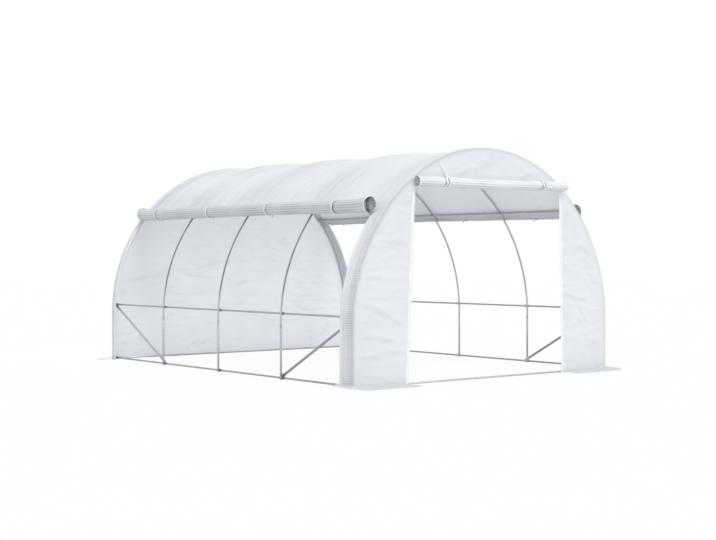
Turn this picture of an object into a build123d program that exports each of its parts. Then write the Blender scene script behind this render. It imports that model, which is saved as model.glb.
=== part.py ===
from build123d import *
import os
from math import acos, asin, atan, ceil, cos, degrees, pi, radians, sin, sqrt

# Polytunnel greenhouse. Millimetres, X across, Y along with the door at -Y, Z up from the ground.

# Tube frame
TUNNEL_WIDTH = 3000.0
BAY_LENGTH = 985.0
BAY_COUNT = 4
LEG_HEIGHT = 485.0
HOOP_TUBE = 19.0
RAIL_TUBE = 16.0
TUBE_WALL = 1.0
SOCKET_LENGTH = 45.0
SPIGOT_LENGTH = 40.0
MID_RAIL_HEIGHT = 563.0
PURLIN_ANGLE = 42.0
RIDGE_ANGLE = 90.0
FLAT_OVERHANG = 8.0
FLAT_LENGTH = 26.0
PRESS_LENGTH = 30.0
CORNER_SHARE = 0.5
GROUND_GAP = 3.0
BRACE_GAP = 4.0
SLACK = 0.3

# Fabric cover
COVER_THICKNESS = 2.0
LEFT_FRONT_STRIP = 170.0
LEFT_BACK_STRIP = 75.0
RIGHT_FRONT_STRIP = 90.0
RIGHT_BACK_STRIP = 130.0
DOOR_WIDTH_BELOW = 1850.0
DOOR_WIDTH_ABOVE = 1750.0
DOOR_HEIGHT = 1640.0
SKIRT_WIDTH = 200.0

# Rolled-up walls and door
SIDE_ROLL_ANGLE = 38.8
SIDE_ROLL_CORE = 13.0
SIDE_ROLL_PITCH = 6.0
SIDE_ROLL_TURNS = 7
DOOR_ROLL_LENGTH = 1820.0
DOOR_ROLL_RISE = 30.0
DOOR_ROLL_CORE = 8.0
DOOR_ROLL_PITCH = 3.6
DOOR_ROLL_TURNS = 10
ROLL_SIDES = 12
TIE_WIDTH = 22.0
TIE_THICKNESS = 2.0
TIE_WRAP_END = 330.0
SIDE_TIE_SHIFT = 95.0
KNOT_ANGLE = 310.0
KNOT_SPREAD = 14.0
KNOT_DEPTH = 14.0
DOOR_TIE_SPACING = 1240.0
DOOR_TIE_DROP = 120.0

# Sizes that follow from those above
ARCH_RADIUS = TUNNEL_WIDTH / 2
HALF_LENGTH = BAY_LENGTH * BAY_COUNT / 2
HOOP_BORE = HOOP_TUBE - 2 * TUBE_WALL
SPIGOT_TUBE = HOOP_BORE - 2 * SLACK
FLAT_THICKNESS = 2 * TUBE_WALL
RAIL_FLAT_WIDTH = RAIL_TUBE * pi / 2
BRACE_FLAT_WIDTH = HOOP_TUBE * pi / 2
BASE_RAIL_HEIGHT = RAIL_FLAT_WIDTH / 2 + GROUND_GAP
BRACE_OFFSET = (RAIL_FLAT_WIDTH + BRACE_FLAT_WIDTH) / 2 + BRACE_GAP
BRACE_INSET = BRACE_FLAT_WIDTH / 4
FLAT_STEP = FLAT_THICKNESS + SLACK
COVER_INSIDE = ARCH_RADIUS + HOOP_TUBE / 2 + SLACK
COVER_OUTSIDE = COVER_INSIDE + COVER_THICKNESS
COVER_MIDDLE = (COVER_INSIDE + COVER_OUTSIDE) / 2
END_INSIDE = HALF_LENGTH + HOOP_TUBE / 2 + SLACK
END_OUTSIDE = END_INSIDE + COVER_THICKNESS
LEFT_ROLL_ENDS = (-END_INSIDE + LEFT_FRONT_STRIP, END_INSIDE - LEFT_BACK_STRIP)
RIGHT_ROLL_ENDS = (-END_INSIDE + RIGHT_FRONT_STRIP, END_INSIDE - RIGHT_BACK_STRIP)
SIDE_ROLL_REACH = SIDE_ROLL_CORE + SIDE_ROLL_PITCH * SIDE_ROLL_TURNS
DOOR_ROLL_REACH = DOOR_ROLL_CORE + DOOR_ROLL_PITCH * DOOR_ROLL_TURNS
DOOR_ROLL_Y = -(END_OUTSIDE + SLACK + COVER_THICKNESS / 2 + DOOR_ROLL_REACH)
DOOR_ROLL_Z = DOOR_HEIGHT + DOOR_ROLL_RISE
GABLE_HALF_WIDTH = sqrt(COVER_OUTSIDE**2 - (DOOR_HEIGHT - LEG_HEIGHT) ** 2)
HALF_TURN = 180.0
FULL_TURN = 360.0
SLANT_ANGLE = HALF_TURN / 2 - degrees(atan(CORNER_SHARE))

os.makedirs("parts", exist_ok=True)


def save(shape, name):
    """Write one named piece to its own file."""
    shape.label = name
    export_step(shape, f"parts/{name}.step")


def mirrored(shape):
    """The same piece on the other side of the tunnel."""
    return mirror(shape, about=Plane.YZ)


def on_side(side, shape):
    """A piece drawn on the right, on the side asked for: -1 is left and 1 is right."""
    return shape if side > 0 else mirrored(shape)


def along(face, y_from, y_to):
    """Extrude a cross-section drawn in X and Z between two places along the tunnel."""
    return extrude(Plane.XZ.offset(-y_from) * face, amount=y_from - y_to)


def across(face, x_from, x_to):
    """Extrude a cross-section drawn in Y and Z between two places across the tunnel."""
    return extrude(Plane.YZ.offset(x_from) * face, amount=x_to - x_from)


def hoop_places():
    """Where each hoop stands along the tunnel, from the back one to the front one."""
    return [HALF_LENGTH - BAY_LENGTH * i for i in range(BAY_COUNT + 1)]


def ring_sector(inner, outer, start, end):
    """A piece of a flat ring between two radii and two angles."""
    outside = CenterArc((0, 0), outer, start, end - start)
    inside = CenterArc((0, 0), inner, start, end - start)
    return make_face([outside, inside, Line(outside @ 0, inside @ 0), Line(outside @ 1, inside @ 1)])


# Hoops


def tube_outline(width):
    """A six-sided tube seen end on, with flat sides across X and edges across Y."""
    reach = width / 2
    shoulder = reach * (1 - CORNER_SHARE)
    right = [(reach, -shoulder), (reach, shoulder), (0, reach)]
    return make_face(Polyline(*right, *[(-x, -y) for x, y in right], close=True))


def hoop_arch(y):
    """One bent tube: half a circle with a straight socket at each end."""
    spring = Plane((ARCH_RADIUS, y, LEG_HEIGHT))
    bar = tube_outline(HOOP_TUBE)
    bend = revolve(spring * bar, Axis((0, y, LEG_HEIGHT), (0, -1, 0)), HALF_TURN)
    socket = extrude(spring * (bar - tube_outline(HOOP_BORE)), amount=-SOCKET_LENGTH)
    return bend + socket + mirrored(socket)


def leg_posts(side):
    """The straight legs of one side, each drawn in at its top to fit inside the arch."""
    shoulder = LEG_HEIGHT - SOCKET_LENGTH
    foot = extrude(tube_outline(HOOP_TUBE), amount=shoulder - SLACK)
    spigot = extrude(tube_outline(SPIGOT_TUBE), amount=shoulder + SPIGOT_LENGTH)
    return [Pos(side * ARCH_RADIUS, y, 0) * (foot + spigot) for y in hoop_places()]


# Rails and braces, tubes whose ends are pressed flat and bolted inside the hoops


def pressed_outline(end_width, middle_width, span):
    """One outline of a flat-ended tube, along Y from bolt to bolt."""
    pressed = FLAT_LENGTH + PRESS_LENGTH
    edge = [(end_width / 2, -FLAT_OVERHANG), (end_width / 2, FLAT_LENGTH), (middle_width / 2, pressed)]
    edge += [(x, span - y) for x, y in reversed(edge)]
    return make_face(Polyline(*edge, *[(-x, y) for x, y in reversed(edge)], close=True))


def flat_end_tube(diameter, flat_width, span):
    """A six-sided tube along Z, pressed flat across X at both ends: what its three outlines share."""
    slant = sin(radians(SLANT_ANGLE))
    flat = Plane.XZ * pressed_outline(FLAT_THICKNESS, diameter, span)
    broad = Plane.XZ * pressed_outline(flat_width * slant, diameter * slant, span)
    pair = extrude(broad, amount=flat_width, both=True)
    tube = extrude(flat, amount=flat_width, both=True)
    return tube & Rot(0, 0, SLANT_ANGLE) * pair & Rot(0, 0, -SLANT_ANGLE) * pair


def hoop_angle(height):
    """The angle on the arch at which a tube at this height meets it, none on the straight leg."""
    return degrees(asin(max(height - LEG_HEIGHT, 0) / ARCH_RADIUS))


def bolt_point(side, angle, height, y, level):
    """Middle of a flat end bolted inside a hoop, the given number of flats in from it."""
    inward = ARCH_RADIUS - HOOP_TUBE / 2 - SLACK - FLAT_THICKNESS / 2 - level * FLAT_STEP
    drop = (ARCH_RADIUS - inward) * sin(radians(angle))
    return Vector(side * inward * cos(radians(angle)), y, height - drop)


def laid_tube(diameter, flat_width, start, finish, side, angle):
    """A flat-ended tube laid between two bolts, its flats facing the hoop."""
    out = Vector(side * cos(radians(angle)), 0, sin(radians(angle)))
    run = finish - start
    return Plane(start, x_dir=out, z_dir=run) * flat_end_tube(diameter, flat_width, run.length)


def rail_run(side, angle, height):
    """A row of rail tubes, each front end bolted over the back end of the next."""
    places = hoop_places()
    tubes = []
    for i in range(BAY_COUNT):
        level = 1 if i < BAY_COUNT - 1 else 0
        start = bolt_point(side, angle, height, places[i], 0)
        finish = bolt_point(side, angle, height, places[i + 1], level)
        tubes.append(laid_tube(RAIL_TUBE, RAIL_FLAT_WIDTH, start, finish, side, angle))
    return tubes


def arch_height(angle):
    """Height of the middle of the hoop tube at an angle on the arch."""
    return LEG_HEIGHT + ARCH_RADIUS * sin(radians(angle))


def brace(side, end):
    """A diagonal from the foot of the last hoop but one up to the end hoop, under its rail."""
    foot = bolt_point(side, 0, BASE_RAIL_HEIGHT + BRACE_OFFSET, end * (HALF_LENGTH - BAY_LENGTH), 0)
    head_height = MID_RAIL_HEIGHT - BRACE_OFFSET
    lean = hoop_angle(head_height)
    head = bolt_point(side, lean, head_height, end * (HALF_LENGTH - BRACE_INSET), 0)
    return laid_tube(HOOP_TUBE, BRACE_FLAT_WIDTH, foot, head, side, lean / 2)


def sill_tube(y):
    """The plain tube on the ground between the two legs of an end hoop."""
    reach = bolt_point(1, 0, 0, y, 0).X - FLAT_THICKNESS / 2 - SLACK
    tube = Pos(y, RAIL_TUBE / 2) * Rot(0, 0, HALF_TURN / 2) * tube_outline(RAIL_TUBE)
    return across(tube, -reach, reach)


# Fabric cover


def roof_cover():
    """The sheet over the top of the hoops, down to the rolled walls."""
    sheet = ring_sector(COVER_INSIDE, COVER_OUTSIDE, SIDE_ROLL_ANGLE, HALF_TURN - SIDE_ROLL_ANGLE)
    return along(Pos(0, LEG_HEIGHT) * sheet, -END_INSIDE, END_INSIDE)


def corner_strip(y_from, y_to):
    """The fixed strip of wall beside an end hoop, on the right, from the roof to the ground."""
    bend = Pos(0, LEG_HEIGHT) * ring_sector(COVER_INSIDE, COVER_OUTSIDE, 0, SIDE_ROLL_ANGLE)
    drop = Rectangle(COVER_THICKNESS, LEG_HEIGHT, align=(Align.MIN, Align.MIN))
    return along(bend, y_from, y_to) + along(Pos(COVER_INSIDE, 0) * drop, y_from, y_to)


def arch_outline():
    """The full outline of an end wall."""
    top = CenterArc((0, LEG_HEIGHT), COVER_OUTSIDE, 0, HALF_TURN)
    left = Line(top @ 1, (-COVER_OUTSIDE, 0))
    base = Line(left @ 1, (COVER_OUTSIDE, 0))
    return make_face([top, left, base, Line(base @ 1, top @ 0)])


def door_side_panel():
    """The end wall to the right of the door."""
    below = DOOR_WIDTH_BELOW / 2
    above = DOOR_WIDTH_ABOVE / 2
    outside = 2 * COVER_OUTSIDE
    beside = Polyline((below, 0), (outside, 0), (outside, DOOR_HEIGHT), (above, DOOR_HEIGHT), close=True)
    return along(arch_outline() & make_face(beside), -END_OUTSIDE, -END_INSIDE)


def gable_panel():
    """The end wall over the door."""
    over = Pos(0, DOOR_HEIGHT) * Rectangle(
        2 * GABLE_HALF_WIDTH, ARCH_RADIUS + LEG_HEIGHT, align=(Align.CENTER, Align.MIN)
    )
    return along(arch_outline() & over, -END_OUTSIDE, -END_INSIDE)


def front_skirt(strip_edge):
    """The flap on the ground outside the front right corner, back to the edge of its strip."""
    outline = Polyline(
        (DOOR_WIDTH_BELOW / 2, -END_OUTSIDE),
        (DOOR_WIDTH_BELOW / 2, -END_OUTSIDE - SKIRT_WIDTH),
        (COVER_OUTSIDE, -END_OUTSIDE - SKIRT_WIDTH),
        (COVER_OUTSIDE + SKIRT_WIDTH, -END_OUTSIDE),
        (COVER_OUTSIDE + SKIRT_WIDTH, strip_edge),
        (COVER_OUTSIDE, strip_edge),
        (COVER_OUTSIDE, -END_OUTSIDE),
        close=True,
    )
    return extrude(make_face(outline), amount=COVER_THICKNESS)


def back_skirt_half(strip_edge):
    """The right half of the flap on the ground outside the back wall and round to its strip."""
    outline = Polyline(
        (0, END_OUTSIDE),
        (0, END_OUTSIDE + SKIRT_WIDTH),
        (COVER_OUTSIDE, END_OUTSIDE + SKIRT_WIDTH),
        (COVER_OUTSIDE + SKIRT_WIDTH, END_OUTSIDE),
        (COVER_OUTSIDE + SKIRT_WIDTH, strip_edge),
        (COVER_OUTSIDE, strip_edge),
        (COVER_OUTSIDE, END_OUTSIDE),
        close=True,
    )
    return extrude(make_face(outline), amount=COVER_THICKNESS)


# Rolled walls, rolled door and the ties that hold them


def turned(radius, angle):
    """A point at a distance from the middle of a roll, in a direction given in degrees."""
    return radius * cos(radians(angle)), radius * sin(radians(angle))


def rolled_sheet(core, pitch, turns):
    """A sheet wound from its core outward, ending on +X and heading for +Y."""
    step = FULL_TURN / ROLL_SIDES
    rows = [(core + pitch * i / ROLL_SIDES, step * i) for i in range(turns * ROLL_SIDES + 1)]
    outside = [turned(radius + COVER_THICKNESS / 2, angle) for radius, angle in rows]
    inside = [turned(radius - COVER_THICKNESS / 2, angle) for radius, angle in reversed(rows)]
    return make_face(Polyline(*outside, *inside, close=True))


def strap(inner, outer, start, end):
    """A strap round a roll between two angles, in flat runs like the sheet under it."""
    runs = ceil((end - start) * ROLL_SIDES / FULL_TURN)
    angles = [start + (end - start) * i / runs for i in range(runs + 1)]
    outside = [turned(outer, angle) for angle in angles]
    inside = [turned(inner, angle) for angle in reversed(angles)]
    return make_face(Polyline(*outside, *inside, close=True))


def tie_loop(reach, seam):
    """A strap round a roll, from a seam this far beside its middle to a knot beneath it."""
    inner = (reach + COVER_THICKNESS / 2 + SLACK) / cos(radians(HALF_TURN / ROLL_SIDES))
    outer = inner + TIE_THICKNESS
    loop = strap(inner, outer, degrees(acos(seam / outer)), TIE_WRAP_END)
    knot = strap(inner, outer + KNOT_DEPTH, KNOT_ANGLE - KNOT_SPREAD / 2, KNOT_ANGLE + KNOT_SPREAD / 2)
    return loop + knot


def beside_roof(face):
    """Set a roll's cross-section against the right edge of the roof."""
    distance = COVER_MIDDLE + SIDE_ROLL_REACH
    lean = radians(SIDE_ROLL_ANGLE)
    middle = Pos(-distance * cos(lean), LEG_HEIGHT + distance * sin(lean))
    left = middle * Rot(0, 0, -SIDE_ROLL_ANGLE) * face
    return mirrored(left)


def side_roll(front, back):
    """The right wall, rolled up to the edge of the roof."""
    sheet = rolled_sheet(SIDE_ROLL_CORE, SIDE_ROLL_PITCH, SIDE_ROLL_TURNS)
    return along(beside_roof(sheet), front + SLACK, back - SLACK)


def side_ties():
    """One tie round the right roll a little behind the middle of each bay."""
    seam = SIDE_ROLL_REACH - COVER_THICKNESS / 2 - SLACK
    loop = beside_roof(tie_loop(SIDE_ROLL_REACH, seam))
    middles = [y - BAY_LENGTH / 2 + SIDE_TIE_SHIFT for y in hoop_places()[:-1]]
    return [along(loop, y - TIE_WIDTH / 2, y + TIE_WIDTH / 2) for y in middles]


def door_roll():
    """The door, rolled up in front of the gable."""
    sheet = rolled_sheet(DOOR_ROLL_CORE, DOOR_ROLL_PITCH, DOOR_ROLL_TURNS)
    placed = Pos(DOOR_ROLL_Y, DOOR_ROLL_Z) * sheet
    return across(placed, -DOOR_ROLL_LENGTH / 2, DOOR_ROLL_LENGTH / 2)


def door_ties():
    """Two ties round the rolled door, each sewn to the gable above it."""
    loop = Pos(DOOR_ROLL_Y, DOOR_ROLL_Z) * tie_loop(DOOR_ROLL_REACH, DOOR_ROLL_REACH)
    tail = Rectangle(TIE_THICKNESS, DOOR_TIE_DROP, align=(Align.MAX, Align.MIN))
    tail = Pos(-END_OUTSIDE - SLACK, DOOR_ROLL_Z + COVER_THICKNESS) * tail
    ties = []
    for side in (-1, 1):
        x = side * DOOR_TIE_SPACING / 2
        ties.append(across(loop + tail, x - TIE_WIDTH / 2, x + TIE_WIDTH / 2))
    return ties


def build():
    """Make every piece and write it out."""
    for name, y in zip(("back", "second", "middle", "fourth", "front"), hoop_places()):
        save(hoop_arch(y), f"{name}_hoop_arch")
    sides = (("left", -1, LEFT_ROLL_ENDS), ("right", 1, RIGHT_ROLL_ENDS))
    for name, side, (roll_front, roll_back) in sides:
        save(Compound(children=leg_posts(side)), f"{name}_leg_posts")
        save(Compound(children=rail_run(side, 0, BASE_RAIL_HEIGHT)), f"{name}_base_rail")
        mid_angle = hoop_angle(MID_RAIL_HEIGHT)
        save(Compound(children=rail_run(side, mid_angle, MID_RAIL_HEIGHT)), f"{name}_mid_rail")
        save(Compound(children=rail_run(side, PURLIN_ANGLE, arch_height(PURLIN_ANGLE))), f"{name}_purlin")
        save(brace(side, -1), f"{name}_front_brace")
        save(brace(side, 1), f"{name}_back_brace")
        save(on_side(side, corner_strip(-END_INSIDE, roll_front)), f"{name}_front_strip")
        save(on_side(side, corner_strip(roll_back, END_INSIDE)), f"{name}_back_strip")
        save(on_side(side, door_side_panel()), f"{name}_door_panel")
        save(on_side(side, front_skirt(roll_front)), f"{name}_front_skirt")
        save(on_side(side, side_roll(roll_front, roll_back)), f"{name}_side_roll")
        save(Compound(children=[on_side(side, tie) for tie in side_ties()]), f"{name}_roll_ties")
    save(Compound(children=rail_run(1, RIDGE_ANGLE, arch_height(RIDGE_ANGLE))), "ridge_rail")
    save(sill_tube(-HALF_LENGTH), "front_sill_tube")
    save(sill_tube(HALF_LENGTH), "back_sill_tube")
    save(roof_cover(), "roof_cover")
    save(gable_panel(), "gable_panel")
    save(along(arch_outline(), END_INSIDE, END_OUTSIDE), "back_panel")
    halves = [on_side(side, back_skirt_half(ends[1])) for name, side, ends in sides]
    save(halves[0] + halves[1], "back_skirt")
    save(door_roll(), "door_roll")
    save(Compound(children=door_ties()), "door_roll_ties")


build()
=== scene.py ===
from math import asin, atan2, cos, exp, pi, radians, sin, sqrt

import bmesh
import bpy
from mathutils import Matrix, Vector, noise


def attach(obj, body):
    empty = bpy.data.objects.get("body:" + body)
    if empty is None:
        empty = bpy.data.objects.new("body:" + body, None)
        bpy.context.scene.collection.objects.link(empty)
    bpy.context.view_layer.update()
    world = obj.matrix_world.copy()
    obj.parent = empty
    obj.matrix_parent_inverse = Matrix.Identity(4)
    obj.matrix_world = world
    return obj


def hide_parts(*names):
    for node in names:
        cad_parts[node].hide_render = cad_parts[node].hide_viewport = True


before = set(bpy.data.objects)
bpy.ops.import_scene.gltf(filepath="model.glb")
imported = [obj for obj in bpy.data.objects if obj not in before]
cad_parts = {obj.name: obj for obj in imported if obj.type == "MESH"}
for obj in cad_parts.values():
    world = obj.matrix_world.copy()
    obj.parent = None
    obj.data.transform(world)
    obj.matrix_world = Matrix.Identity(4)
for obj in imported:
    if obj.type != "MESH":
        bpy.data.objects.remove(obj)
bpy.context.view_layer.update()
scene = bpy.context.scene

# Sizes of the tunnel in metres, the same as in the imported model
ARCH = 1.5
LEG = 0.485
BAY = 0.985
END_HOOP = 2 * BAY
HOOPS = (END_HOOP, BAY, 0.0, -BAY, -END_HOOP)
SIDES = (("left", -1), ("right", 1))
HOOP_TUBE = 0.019
RAIL_TUBE = 0.016
FLAT = 0.002
SLACK = 0.0003
SOCKET = 0.045
MID_RAIL = 0.563
PURLIN = radians(42)
RAIL_FLAT = RAIL_TUBE * pi / 2
BRACE_TUBE = 0.022
BRACE_FLAT = BRACE_TUBE * pi / 2
BASE_RAIL = RAIL_FLAT / 2 + 0.003
BRACE_OFFSET = 0.013
BRACE_INSET = BRACE_FLAT / 4
ARCH_DROP = 0.018
TUBE_SIDES = 16
ARCH_STEPS = 80
BOLT_PARTS = ((16, 0.0075, 0.0002, 0.0014), (6, 0.0062, 0.0015, 0.0065), (10, 0.003, 0.0065, 0.0115))

# The cover lies this far from the middle of the tube it passes over
LIFT = 0.0108
END_WALL = END_HOOP + LIFT
COVER = ARCH + LIFT
ARC = pi * COVER
CUT_WIDTH = 2 * LEG + ARC
CUT_END = END_HOOP + LIFT * pi / 2
ROLL_ANGLE = radians(38.8)
ROOF_EDGE = LEG + COVER * ROLL_ANGLE
STRIPS = {-1: (-1.8095, 1.9045), 1: (-1.8895, 1.8495)}
DOOR_EDGES = {-1: (0.94, 0.868), 1: (0.895, 0.862)}
DOOR_TOP = 1.64
FLAP = 0.2
SIDE_ROLL = 0.0592
SIDE_PITCH = 0.0063
SIDE_SQUEEZE = 0.07
SIDE_FLARE = 0.0115
SIDE_TILT = radians(0.75)
SIDE_FORWARD = {-1: 0.032, 1: -0.014}
DOOR_ROLL = 0.0435
DOOR_PITCH = 0.0036
DOOR_SQUEEZE = 0.12
DOOR_ROLL_ENDS = (-0.885, 0.905)
DOOR_ROLL_MIDDLE = Vector((0.0, -2.0271, 1.67))
TIE_PLACES = (-1.3825, -0.3975, 0.5875, 1.5725)
DOOR_TIES = (-0.58, 0.58)
TIE_WIDTH = 0.022
TAPE_THICKNESS = 0.0014
ROLLED_THICKNESS = 0.0008
TURN_CELLS = 26
ROLL_HEM = 0.02
FRONT_SEED = 11.0
BACK_SEED = 31.0

# Threads of the woven cloth and stitches of its hems
THREAD_PITCH = 0.019
THREAD_SHARE = 0.3
TAPES_PER_PITCH = 8
STITCH_WIDTH = 0.0018
STITCH_PITCH = 0.006


def smooth_step(low, high, value):
    """0 below low, 1 above high and an even ease between them."""
    share = min(max((value - low) / (high - low), 0.0), 1.0)
    return share * share * (3 - 2 * share)


def bell(off, width):
    """1 in the middle, falling away on both sides over a width."""
    return exp(-((off / width) ** 2))


def rough(*place):
    """Even noise about 0 at a place."""
    return noise.noise(Vector(place))


def arch_drop(angle, y):
    """How far inside the half round the arches and their cover lie, more and more towards the front."""
    return ARCH_DROP * min(max(-y / END_HOOP, 0), 1) * smooth_step(radians(5), radians(35), min(angle, pi - angle))


# Materials


def feed(tree, socket, value):
    """Link a socket to another one, or give it a plain value."""
    if isinstance(value, bpy.types.NodeSocket):
        tree.links.new(value, socket)
    else:
        socket.default_value = value


def node(tree, kind, inputs=None, **settings):
    """Add a shader node, set what is asked on it, and feed its inputs."""
    made = tree.nodes.new(kind)
    for key, value in settings.items():
        setattr(made, key, value)
    for label, value in (inputs or {}).items():
        feed(tree, made.inputs[label], value)
    return made


def maths(tree, operation, *values):
    """A Math node fed by sockets or numbers."""
    made = node(tree, "ShaderNodeMath", operation=operation)
    for socket, value in zip(made.inputs, values):
        feed(tree, socket, value)
    return made.outputs[0]


def ease(tree, value, low, high, start=0.0, finish=1.0):
    """A mask that goes smoothly from start to finish while a value goes from low to high."""
    span = {"Value": value, "From Min": low, "From Max": high, "To Min": start, "To Max": finish}
    return node(tree, "ShaderNodeMapRange", span, interpolation_type="SMOOTHSTEP").outputs[0]


def axes_of(tree, vector):
    """The three axes of a vector."""
    return node(tree, "ShaderNodeSeparateXYZ", {"Vector": vector}).outputs


def noise_mask(tree, vector, scale, detail, distortion=0.0):
    """An uneven mask over a place."""
    inputs = {"Vector": vector, "Scale": scale, "Detail": detail, "Distortion": distortion}
    return node(tree, "ShaderNodeTexNoise", inputs).outputs["Fac"]


def mix_to_surface(tree, share, first, second, output="Material Output"):
    """Show two shaders mixed by a share."""
    mix = node(tree, "ShaderNodeMixShader", {"Fac": share, 1: first.outputs[0], 2: second.outputs[0]})
    tree.links.new(mix.outputs[0], tree.nodes[output].inputs["Surface"])


def new_group(name, inputs, outputs):
    """A shader node group with named sockets, and its two ends; an input that is no number is a vector."""
    tree = bpy.data.node_groups.new(name, "ShaderNodeTree")
    for label, value in inputs.items():
        kind = "NodeSocketFloat" if isinstance(value, float) else "NodeSocketVector"
        socket = tree.interface.new_socket(name=label, in_out="INPUT", socket_type=kind)
        if value is not None:
            socket.default_value = value
    for label in outputs:
        tree.interface.new_socket(name=label, in_out="OUTPUT", socket_type="NodeSocketFloat")
    return tree, node(tree, "NodeGroupInput").outputs, node(tree, "NodeGroupOutput").inputs


def place_group(tree, group, **values):
    """Put a shared node group in a material with its own values, and give its outputs."""
    return node(tree, "ShaderNodeGroup", values, node_tree=group).outputs


def make_thread_grid():
    """The reinforcing threads of the cover: raised lines each way over a fine tape weave."""
    inputs = {"Cloth": None, "Pitch": THREAD_PITCH, "Thread": THREAD_SHARE, "Across": 1.0, "Along": 1.0}
    tree, given, result = new_group("thread grid", inputs, ("Threads", "Height"))
    lines, weave = [], []
    for way, label in zip(axes_of(tree, given["Cloth"]), ("Across", "Along")):
        way = maths(tree, "DIVIDE", way, given["Pitch"])
        line = ease(tree, maths(tree, "PINGPONG", way, 0.5), 0.0, given["Thread"], 1.0, 0.0)
        lines.append(maths(tree, "MULTIPLY", line, given[label]))
        weave.append(maths(tree, "SINE", maths(tree, "MULTIPLY", way, 2 * pi * TAPES_PER_PITCH)))
    threads = maths(tree, "MAXIMUM", *lines)
    tapes = maths(tree, "MULTIPLY", maths(tree, "MULTIPLY", *weave), 0.15)
    tree.links.new(threads, result["Threads"])
    tree.links.new(maths(tree, "ADD", threads, tapes), result["Height"])
    return tree


def make_drawn_creases():
    """Creases drawn out along one way of the cloth, in patches, over a slow change of tone."""
    inputs = {"Cloth": None, "Fine": (30, 3, 1), "Broad": (9, 1, 1)}
    tree, given, result = new_group("drawn creases", inputs, ("Height", "Shade", "Patch"))
    streaks = []
    for label in ("Fine", "Broad"):
        drawn = node(tree, "ShaderNodeVectorMath", {0: given["Cloth"], 1: given[label]}, operation="MULTIPLY")
        streaks.append(noise_mask(tree, drawn.outputs[0], 1.0, 2.0, 0.25))
    patch = ease(tree, noise_mask(tree, given["Cloth"], 2.6, 2.0), 0.38, 0.66)
    fine = maths(tree, "MULTIPLY", maths(tree, "MULTIPLY", streaks[0], patch), 0.4)
    tree.links.new(maths(tree, "ADD", fine, streaks[1]), result["Height"])
    tree.links.new(streaks[1], result["Shade"])
    tree.links.new(patch, result["Patch"])
    return tree


def make_stitch_rows():
    """Two rows of lock stitch along a hem, at their distances from its edge."""
    tree, given, result = new_group("stitch rows", {"Cloth": None, "Near": 0.004, "Far": 0.036}, ("Stitch",))
    axes = axes_of(tree, given["Cloth"])
    rows = []
    for label in ("Near", "Far"):
        off = maths(tree, "ABSOLUTE", maths(tree, "SUBTRACT", axes[0], given[label]))
        rows.append(maths(tree, "LESS_THAN", off, STITCH_WIDTH / 2))
    dash = maths(tree, "LESS_THAN", maths(tree, "PINGPONG", axes[1], STITCH_PITCH / 2), 0.35 * STITCH_PITCH)
    tree.links.new(maths(tree, "MULTIPLY", maths(tree, "MAXIMUM", *rows), dash), result["Stitch"])
    return tree


THREAD_GRID = make_thread_grid()
CREASES = make_drawn_creases()
STITCHES = make_stitch_rows()


def blank_material(name):
    """A material with its surface shader, and the tree that it stands in."""
    made = bpy.data.materials.new(name)
    made.use_nodes = True
    return made, made.node_tree, made.node_tree.nodes["Principled BSDF"]


def tint(tree, share, plain, marked):
    """Mix two colours by a mask."""
    mix = node(tree, "ShaderNodeMix", {"Factor": share}, data_type="RGBA")
    for label, colour in (("A", plain), ("B", marked)):
        feed(tree, mix.inputs[label], (*colour, 1) if isinstance(colour, tuple) else colour)
    return mix.outputs["Result"]


def roughness_from(tree, share, low, high, shader):
    """Let a mask move the roughness between two values."""
    spread = node(tree, "ShaderNodeMapRange", {"Value": share, "To Min": low, "To Max": high})
    tree.links.new(spread.outputs[0], shader.inputs["Roughness"])


def bumps(tree, shader, *layers):
    """Stack bump layers, each a height, its depth in metres and its strength."""
    under = None
    for height, depth, strength in layers:
        bump = node(tree, "ShaderNodeBump", {"Height": height, "Distance": depth, "Strength": strength})
        if under is not None:
            tree.links.new(under, bump.inputs["Normal"])
        under = bump.outputs[0]
    tree.links.new(under, shader.inputs["Normal"])


def cover_cloth(
    name, plain, thread, fine, broad, depth, lines, through=0.0, fade=None, stitched=False, pitch=THREAD_PITCH,
    hollows=(0.52, 0.54, 0.58), shade_share=0.5,
):
    """White woven cover: threads, drawn creases, painted shade where the mesh notes it and, on hems, stitches; light
    comes through it.
    """
    made, tree, shader = blank_material(name)
    cloth = node(tree, "ShaderNodeUVMap", uv_map="cut").outputs[0]
    creases = place_group(tree, CREASES, Cloth=cloth, Fine=fine, Broad=broad)
    shown = []
    for patchy, strength in zip((0.6, 0.8), lines):
        patches = maths(tree, "ADD", maths(tree, "MULTIPLY", creases["Patch"], patchy), 1 - patchy)
        shown.append(maths(tree, "MULTIPLY", patches, strength))
    across, along = shown
    if fade:
        ground = maths(tree, "PINGPONG", axes_of(tree, cloth)[0], CUT_WIDTH / 2)
        across = maths(tree, "MULTIPLY", across, ease(tree, ground, *fade))
    net = place_group(tree, THREAD_GRID, Cloth=cloth, Pitch=pitch, Thread=THREAD_SHARE, Across=across, Along=along)
    hollow = node(tree, "ShaderNodeAttribute", attribute_name="hollow").outputs["Fac"]
    colour = tint(tree, net["Threads"], plain, thread)
    colour = tint(tree, maths(tree, "MULTIPLY", creases["Shade"], 0.1), colour, (0.6, 0.62, 0.66))
    # Painted shade: the shade noted on the mesh darkens the colour by its share
    colour = tint(tree, maths(tree, "MULTIPLY", hollow, shade_share), colour, hollows)
    layers = [(creases["Height"], depth, 0.9), (net["Height"], 0.0009, 0.7)]
    if stitched:
        stitch = place_group(tree, STITCHES, Cloth=cloth)["Stitch"]
        colour = tint(tree, stitch, colour, (0.6, 0.61, 0.64))
        layers.append((stitch, 0.0006, 0.8))
    tree.links.new(colour, shader.inputs["Base Color"])
    roughness_from(tree, creases["Shade"], 0.42, 0.6, shader)
    bumps(tree, shader, *layers)
    shader.inputs["Specular IOR Level"].default_value = 0.3
    if through:
        mix_to_surface(tree, through, shader, node(tree, "ShaderNodeBsdfTranslucent", {"Color": colour}))
    return made


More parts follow.
